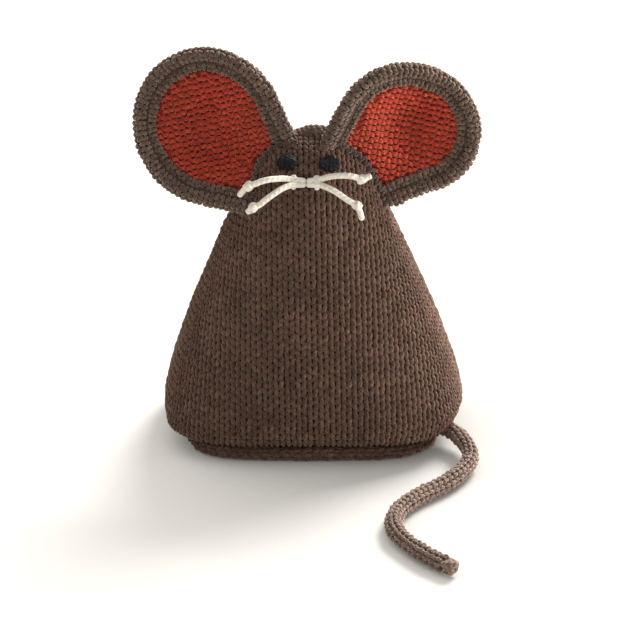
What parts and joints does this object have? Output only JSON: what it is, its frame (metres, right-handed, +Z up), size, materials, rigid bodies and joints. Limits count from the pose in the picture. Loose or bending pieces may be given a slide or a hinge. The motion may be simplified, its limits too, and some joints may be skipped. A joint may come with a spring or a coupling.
{
  "type": "knitted mouse toy",
  "caption": "Hand-knitted stuffed mouse toy with a flat base, big cupped ears that fold, knotted yarn whiskers and a knitted cord tail.",
  "frame": {"origin": "on the table under the middle of the toy, measured without its tail and whiskers", "axes": "+Z up from the flat base to the crown, -Y the way the face looks, +X towards the ear on the right of a viewer who faces the toy"},
  "size_m": [0.1582, 0.2154, 0.1802],
  "materials": {
    "brown_yarn": "knitted wool, brown heather",
    "base_yarn": "knitted wool, brown heather, a little darker",
    "border_yarn": "knitted wool, brown heather",
    "lining_yarn": "knitted wool, coral red, purl side out",
    "black_yarn": "wool yarn, black",
    "ivory_yarn": "wool yarn, ivory",
    "tail_yarn": "knitted wool cord, brown heather",
    "fibre_fill": "loose polyester fibre"
  },
  "bodies": {
    "body": {"body_cover": "brown_yarn", "body_stuffing": "fibre_fill", "base_welt": "base_yarn", "base_panel": "base_yarn", "crown_seam": "brown_yarn", "ear_seam_left": "brown_yarn", "ear_seam_right": "brown_yarn", "eye_left": "black_yarn", "eye_right": "black_yarn", "whisker_knot_left": "ivory_yarn", "whisker_knot_right": "ivory_yarn", "whisker_upper_left": "ivory_yarn", "whisker_lower_left": "ivory_yarn", "whisker_upper_right": "ivory_yarn", "whisker_lower_right": "ivory_yarn", "tail": "tail_yarn", "tail_end_knot": "tail_yarn"},
    "ear_left": {"ear_border_left": "border_yarn", "ear_lining_left": "lining_yarn", "ear_back_left": "brown_yarn"},
    "ear_right": {"ear_border_right": "border_yarn", "ear_lining_right": "lining_yarn", "ear_back_right": "brown_yarn"}
  },
  "joints": [
    {"name": "left_ear_fold", "type": "hinge", "parent": "body", "child": "ear_left", "pos_m": [-0.02552, -0.00623, 0.13129], "axis": [0.502, 0.2298, 0.8337], "range_deg": [-35, 25], "stiffness_Nm_per_rad": 0.02},
    {"name": "right_ear_fold", "type": "hinge", "parent": "body", "child": "ear_right", "pos_m": [0.02725, -0.00251, 0.13253], "axis": [0.6175, 0.1304, -0.7757], "range_deg": [-35, 25], "stiffness_Nm_per_rad": 0.02}
  ]
}
